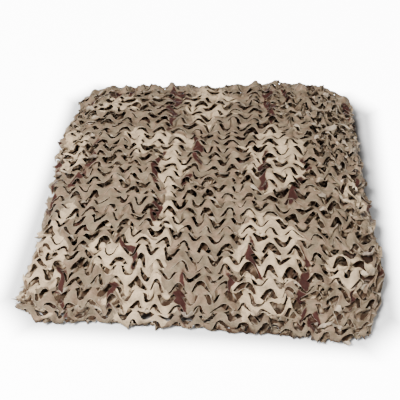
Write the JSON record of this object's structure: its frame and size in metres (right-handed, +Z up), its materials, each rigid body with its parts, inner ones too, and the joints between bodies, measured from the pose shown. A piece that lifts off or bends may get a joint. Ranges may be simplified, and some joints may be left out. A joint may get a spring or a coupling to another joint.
{
  "type": "folded camouflage netting",
  "caption": "Leaf-cut camouflage net in sand, khaki and red-brown, folded back and forth into a low soft square bundle.",
  "frame": {"origin": "middle of the bundle's underside", "axes": "+X to the right along the rows of leaves, +Y to the back where the free end hangs, +Z up"},
  "size_m": [0.7629, 0.7928, 0.1093],
  "materials": {
    "cloth": "matt coated weave, sand and khaki patches with narrow red-brown streaks"
  },
  "bodies": {
    "root": {"net": "cloth"}
  },
  "joints": []
}
